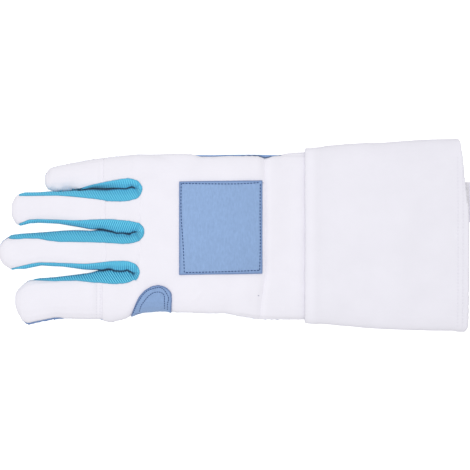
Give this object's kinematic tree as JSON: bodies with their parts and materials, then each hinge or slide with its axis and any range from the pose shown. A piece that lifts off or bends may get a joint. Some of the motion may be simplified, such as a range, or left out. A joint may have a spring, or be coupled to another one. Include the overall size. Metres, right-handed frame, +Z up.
{
  "type": "fencing glove",
  "caption": "Right-hand fencing glove lying palm down: stretch gussets between the fingers, sewn patches and a long flared gauntlet cuff.",
  "frame": {"origin": "on the table, under the middle of the glove's outline", "axes": "+X from the fingertips towards the cuff's mouth, +Y towards the little finger's side, +Z up from the table; the glove lies palm down"},
  "size_m": [0.331, 0.1346, 0.0342],
  "materials": {
    "white_cloth": "white padded microfibre cloth, matt, with a very fine grain",
    "cuff_cloth": "white cuff cloth, matt, slightly greyer, with a very fine weave",
    "blue_suede": "light blue suede with a short nap",
    "turquoise_knit": "turquoise stretch twill with fine slanting ribs"
  },
  "bodies": {
    "root": {"hand_back": "white_cloth", "finger_back_little": "white_cloth", "finger_back_ring": "white_cloth", "finger_back_middle": "white_cloth", "finger_back_index": "white_cloth", "thumb_back": "white_cloth", "wrist_sleeve": "white_cloth", "gauntlet": "cuff_cloth", "mouth_tab": "cuff_cloth", "palm": "blue_suede", "thumb_front": "blue_suede", "back_patch": "blue_suede", "crotch_patch": "blue_suede", "gusset_little_ring": "turquoise_knit", "gusset_ring_middle": "turquoise_knit", "gusset_middle_index": "turquoise_knit"}
  },
  "joints": []
}
